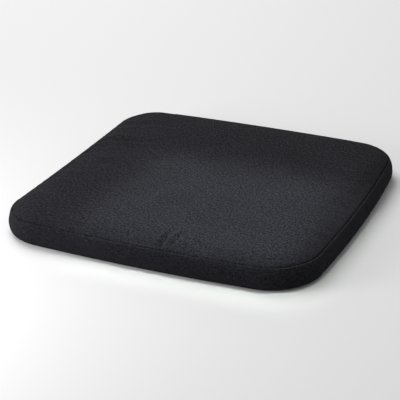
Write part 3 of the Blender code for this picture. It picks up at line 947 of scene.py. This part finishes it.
def lowered(rows, height):
    """The rows of (inset, height) with a height for each station, none of them above height(x, y)."""
    points, inward = outline(PAD_STATIONS)
    result = []
    for inset, z in rows:
        x, y = (points + inward * inset).T
        result.append(np.column_stack([np.full(len(points), inset), np.minimum(z, height(x, y))]))
    return result


def foam_top(x, y):
    return FOAM_HIGH[2] + 0.12 * (waves(x, y, 9.0, 21) - 1.0) + dent(x, y, *PUCKER_HOLLOW)


def foam_bottom(x, y):
    return FOAM_LOW[2] + 0.10 * (waves(x, y, 9.0, 22) + 1.0)


def wadding_top(x, y):
    height = top_height(x, y) - 1.75 + 0.14 * waves(x, y, 11.0, 23)
    height += 0.4 * dent(x, y, *PUCKER_HOLLOW)
    return np.maximum(height, wadding_bottom(x, y) + 0.5)


def wadding_bottom(x, y):
    return WADDING_Z + 0.05 * waves(x, y, 11.0, 24) + dent(x, y, *PUCKER_HOLLOW)


def liner_crest(x, y):
    crown = top_height(x, y) - 1.05 + 0.10 * waves(x, y, 14.0, 25)
    return crown + 0.4 * dent(x, y, *PUCKER_HOLLOW)


def liner_floor(x, y):
    return 2.25 + 0.08 * waves(x, y, 14.0, 26)


def make_foam():
    rounding = [(0.0, 2.2), (0.25, 1.2), (0.9, 0.35), (2.2, 0.0)]
    middle = [(PAD_INSET, (FOAM_LOW[2] + FOAM_HIGH[2]) / 2)]
    upper = middle + [(PAD_INSET + inset, FOAM_HIGH[2] - drop) for inset, drop in rounding]
    lower = middle + [(PAD_INSET + inset, FOAM_LOW[2] + drop) for inset, drop in rounding]
    points, faces = pad_body((lowered(upper, foam_top), lower), foam_top, foam_bottom, PAD_STATIONS)
    piece = make_piece("foam_block", "foam_core", "foam", settled(points), faces, closed=True)


def make_wadding():
    edge, start_z = PAD_INSET + 1.6, WADDING_Z + 0.7
    upper = [(edge, start_z), (PAD_INSET + 2.1, start_z + 0.6)]
    lower = [(edge, start_z), (PAD_INSET + 2.0, WADDING_Z + 0.2), (PAD_INSET + 3.0, WADDING_Z)]
    rows = lowered(upper, wadding_top), lowered(lower, wadding_bottom)
    points, faces = pad_body(rows, wadding_top, wadding_bottom, PAD_STATIONS)
    raised = points[:, 2:] > WADDING_Z + 0.8
    points = settled(np.where(raised, swell(points), points))
    piece = make_piece("wadding_pad", "wadding_layer", "wadding", points, faces, closed=True)


def make_liner():
    upper = [(0.0, LINER_SEAM_Z + 0.2), (0.0, 19.5), (0.1, 23.3), (0.35, 24.3), (1.2, 25.0)]
    lower = [(0.0, LINER_SEAM_Z - 0.2), (0.0, 7.0), (0.1, 4.0), (1.4, 2.5)]
    upper, lower = [[(LINER_INSET + inset, z) for inset, z in rows] for rows in (upper, lower)]
    top, faces = panel(lowered(upper, liner_crest), liner_crest, PAD_STATIONS)
    bottom, bottom_faces = panel(lower, liner_floor, PAD_STATIONS)
    for side, points, faces in (("top", swell(top), faces), ("bottom", bottom, bottom_faces)):
        made = (f"liner_{side}_sheet", f"liner_{side}", "liner", settled(points), faces)
        piece = make_piece(*made, thickness=0.25)


def make_liner_edge():
    """The zigzag of overlock stitches that joins the liner's two sheets."""
    pitch, rise = 2.4, 0.75
    line, into = closed_line(LINER_INSET - 0.35, LINER_SEAM_Z)
    run = run_length(line)
    at = np.arange(0.0, run[-1], pitch / 2)
    zigzag = sampled(line, run, at)
    zigzag[:, 2] += np.where(np.arange(len(at)) % 2, rise, -rise)
    zigzag = np.concatenate([zigzag, zigzag[:1]])
    outward = np.column_stack([sampled(-into, run, np.append(at, at[0])), np.zeros(len(zigzag))])
    points, faces = tubes(settled(zigzag)[None], 0.18, 6, outward[None])
    make_piece("liner_overlock", "liner_edge_thread", "liner_thread", points, faces, closed=True)


# ---- Zipper ----

PARTING = (SLIDER_X + 0.3, SLIDER_X + 1.5)  # where the coils move apart, inside the slider


def slider_shape(upper, radius, steps=5):
    """A rounded outline at the slider from its upper edge, left to right, and the same below. Its points
    (x, z) are measured from the slider's middle."""
    upper = np.array(upper)
    both = np.concatenate([upper * (1.0, -1.0), upper[::-1]])
    return rounded_outline(both + (SLIDER_X, ZIP_Z), radius, steps)


def make_tapes():
    for side, up in (("upper", 1.0), ("lower", -1.0)):
        width = TAPE_HIGH[2] - TAPE_LOW[2]
        across = np.linspace(0.0, width, 19)
        x = np.linspace(TAPE_LOW[0], TAPE_HIGH[0], 241)
        past_stops = eased(x, SLIDER_X + 8.5, SLIDER_X + 13.0) + eased(-x, 101.0, 106.0)
        slope = 1 - across / width
        rib = 0.05 * np.cos(across / 1.2 * 2 * math.pi) + 0.12 * np.exp(-across / 0.5)
        y = (TAPE_LOW[1] + TAPE_HIGH[1]) / 2 + np.outer(rib, np.ones(len(x)))
        y += 0.02 * np.cos(x * 2 * math.pi)
        z = ZIP_Z + up * (TAPE_LOW[2] - ZIP_Z + across[:, None] - np.outer(slope, past_stops))
        made = (f"zip_tape_{side}_woven", f"zip_tape_{side}", "zip_tape", spread(x, y, z))
        uv = spread(x, across[:, None])
        make_piece(*made, grid_faces(*y.shape), uv=uv, thickness=0.42)


def make_coils():
    """Two nylon coils whose turns interlock, and which part round the slider's divider."""
    pitch, radius, per_turn = 1.3, 0.25, 14
    reach_in, part_in, part_out, core_part = 0.45, 1.6, 0.55, 0.75
    first, last = COIL_LOW[0] + 0.4, COIL_HIGH[0] - 0.2
    turns = int((last - first) / pitch)
    angle = np.linspace(0.0, 2 * math.pi * turns, turns * per_turn + 1)
    depth = (COIL_LOW[1] + COIL_HIGH[1]) / 2
    deep = (COIL_HIGH[1] - COIL_LOW[1]) / 2 - radius
    outer = COIL_HIGH[2] - ZIP_Z - 0.55
    for side, up, lead in (("upper", 1.0, 0.0), ("lower", -1.0, 0.5)):
        x = first + (angle / (2 * math.pi) + lead) * pitch
        parted = eased(x, *PARTING)
        near = -reach_in + parted * part_in
        far = outer + parted * part_out
        z = (far + near) / 2 - ((far - near) / 2 - radius) * np.cos(angle)
        path = np.stack([x, depth + deep * np.sin(angle), ZIP_Z + up * z], 1)
        coil = tubes(path[None], radius, 7, (1.0, 0.0, 0.0))
        core_x = np.linspace(first, last, 60)
        core_z = (outer - reach_in) / 2 + 0.55 + eased(core_x, *PARTING) * core_part
        core = np.stack([core_x, np.full(60, depth), ZIP_Z + up * core_z], 1)
        points, faces = joined([coil, tubes(core[None], 0.24, 8, (0.0, 1.0, 0.0))])
        name, node = f"zip_coil_{side}_turns", f"zip_coil_{side}"
        make_piece(name, node, "zip_plastic", points, faces, closed=True)


def make_stops():
    for node in ("zip_bottom_stop", "zip_top_stop_upper", "zip_top_stop_lower"):
        low, high = box_mm(node)
        corners = [(low[0], low[2]), (high[0], low[2]), (high[0], high[2]), (low[0], high[2])]
        points, faces = rounded_plate(rounded_outline(corners, 0.6), low[1], high[1], 0.28)
        make_piece(f"{node}_crimp", node, "zip_plastic", points, faces, closed=True, sharp=60)


def make_slider():
    """Two plates with curled flanges, the bail that holds the pull tab, and the divider between the plates,
    which is left open where the coils run, because they don't part behind a moving slider here."""
    plate = [(-5.5, 2.2), (-4.9, 2.8), (-0.5, 2.8), (2.0, 3.4), (4.9, 3.4), (5.5, 2.8)]
    plate = slider_shape(plate, 0.8)
    divider = slider_shape([(1.7, 0.8), (5.0, 0.8)], 0.75)
    layers = [(plate, 0.4, 1.2, 0.24), (plate, 4.2, 5.0, 0.24)]
    layers += [(divider, 0.9, 1.45, 0.05), (divider, 3.25, 4.5, 0.05)]
    flange = smooth_line([(-5.0, 2.5), (-2.6, 2.5), (-0.5, 2.5), (2.0, 3.1), (4.8, 3.1)], 0.4)
    for up in (1.0, -1.0):
        path = flange * (1.0, up) + (SLIDER_X, ZIP_Z)
        side = left_of(np.gradient(path, axis=0)) * 0.275
        layers.append((np.concatenate([path - side, (path + side)[::-1]]), 0.9, 2.9, 0.1))
    parts = []
    for shape, outer, inner, rounding in layers:
        parts.append(rounded_plate(shape, REAR_Y - inner, REAR_Y - outer, rounding))
    rise = [(-2.6, -0.9), (-2.6, 0.9), (-2.2, 1.75), (-1.2, 2.0)]
    bail = smooth_line(rise + [(-x, out) for x, out in rise[::-1]], 0.25)
    path = np.stack([SLIDER_X + bail[:, 0], REAR_Y + bail[:, 1], np.full(len(bail), ZIP_Z)], 1)
    wire, faces = tubes(path[None], 0.4, 10, (0.0, 0.0, 1.0))
    wire[:, 2] = ZIP_Z + (wire[:, 2] - ZIP_Z) * 1.9
    points, faces = joined(parts + [(wire, faces)])
    made = ("zip_slider", "zip_slider_body", "slider_metal", points, faces)
    make_piece(*made, body="zip_slider", closed=True, sharp=50)


def make_pull():
    """A flat tab with an eye round the bail and a raised rim at its grip end."""
    shape = slider_shape([(-21.5, 1.8), (-19.5, 3.2), (-7.0, 3.2), (-4.5, 2.3), (0.5, 2.3)], 1.4)
    eye = slider_shape([(-3.9, 1.2), (-0.5, 1.2)], 0.7)
    tab = rounded_plate(shape, PULL_LOW[1], PULL_HIGH[1], 0.22, hole=eye)
    rim = slider_shape([(-18.9, 1.9), (-9.0, 1.9)], 1.2, steps=6)
    loop = np.column_stack([rim[:, 0], np.full(len(rim), PULL_HIGH[1]), rim[:, 1]])
    loop = np.concatenate([loop, loop[:2]])
    points, faces = joined([tab, tubes(loop[None], 0.22, 8, (0.0, 1.0, 0.0))])
    made = ("zip_pull", "zip_pull_tab", "slider_metal", points, faces)
    make_piece(*made, body="zip_pull", closed=True, sharp=50)


# ---- Stage ----


def make_camera():
    """Looks down at the pad from the front, a little to the right."""
    azimuth, elevation, distance = 0.4015, 0.4237, 1.474
    data = bpy.data.cameras.new("camera")
    data.sensor_width = 36.0
    data.lens = 116.22
    data.shift_x = -0.0164
    data.shift_y = -0.0215
    camera = bpy.data.objects.new("camera", data)
    level = math.cos(elevation)
    back = Vector((math.sin(azimuth) * level, -math.cos(azimuth) * level, math.sin(elevation)))
    camera.location = Vector((0.0, CENTRE_Y * MM, 0.0124)) + back * distance
    camera.rotation_euler = (-back).to_track_quat("-Z", "Y").to_euler()
    bpy.context.scene.collection.objects.link(camera)
    bpy.context.scene.camera = camera


def make_floor():
    reach = 4000.0
    corners = [(-reach, -reach, 0.0), (reach, -reach, 0.0), (reach, reach, 0.0), (-reach, reach, 0.0)]
    floor = new_object("floor", corners, [(0, 1, 2, 3)])
    look, _ = new_material("floor_paint", (0.53, 0.53, 0.53), 0.9)
    floor.data.materials.append(look)


def area_light(name, place, aim, size, watts, colour=(1.0, 1.0, 1.0), spread=180.0):
    data = bpy.data.lights.new(name, "AREA")
    data.shape = "RECTANGLE"
    data.size, data.size_y = size
    data.energy = watts
    data.color = colour
    data.spread = math.radians(spread)
    lamp = bpy.data.objects.new(name, data)
    lamp.location = place
    lamp.rotation_euler = (Vector(place) - Vector(aim)).to_track_quat("Z", "Y").to_euler()
    bpy.context.scene.collection.objects.link(lamp)


def make_lights():
    world = bpy.data.worlds.new("studio")
    world.use_nodes = True
    background = world.node_tree.nodes["Background"]
    background.inputs["Color"].default_value = (1.0, 1.0, 1.0, 1.0)
    background.inputs["Strength"].default_value = 0.455
    bpy.context.scene.world = world
    area_light("overhead", (-1.3, 0.9, 2.5), (0.0, 0.0, 0.0), (2.2, 2.2), 104.0)
    area_light("side", (-0.46, -0.54, 0.21), (-0.16, -0.15, 0.02), (0.32, 0.27), 4.3)
    pool_x, pool_y, tint = 0.044, -0.070, (0.90, 1.0, 0.93)
    area_light("pool", (pool_x, pool_y, 0.50), (pool_x, pool_y, 0.0), (0.24, 0.22), 0.28, tint, 13.0)


def main():
    bpy.context.scene.view_settings.view_transform = "Standard"
    make_camera()
    make_floor()
    make_lights()
    make_top_panel()
    make_side_band()
    make_zip_strips()
    make_seam_stitches()
    make_underside()
    make_grip_dots()
    make_label()
    make_foam()
    make_wadding()
    make_liner()
    make_liner_edge()
    make_tapes()
    make_coils()
    make_stops()
    make_slider()
    make_pull()


main()
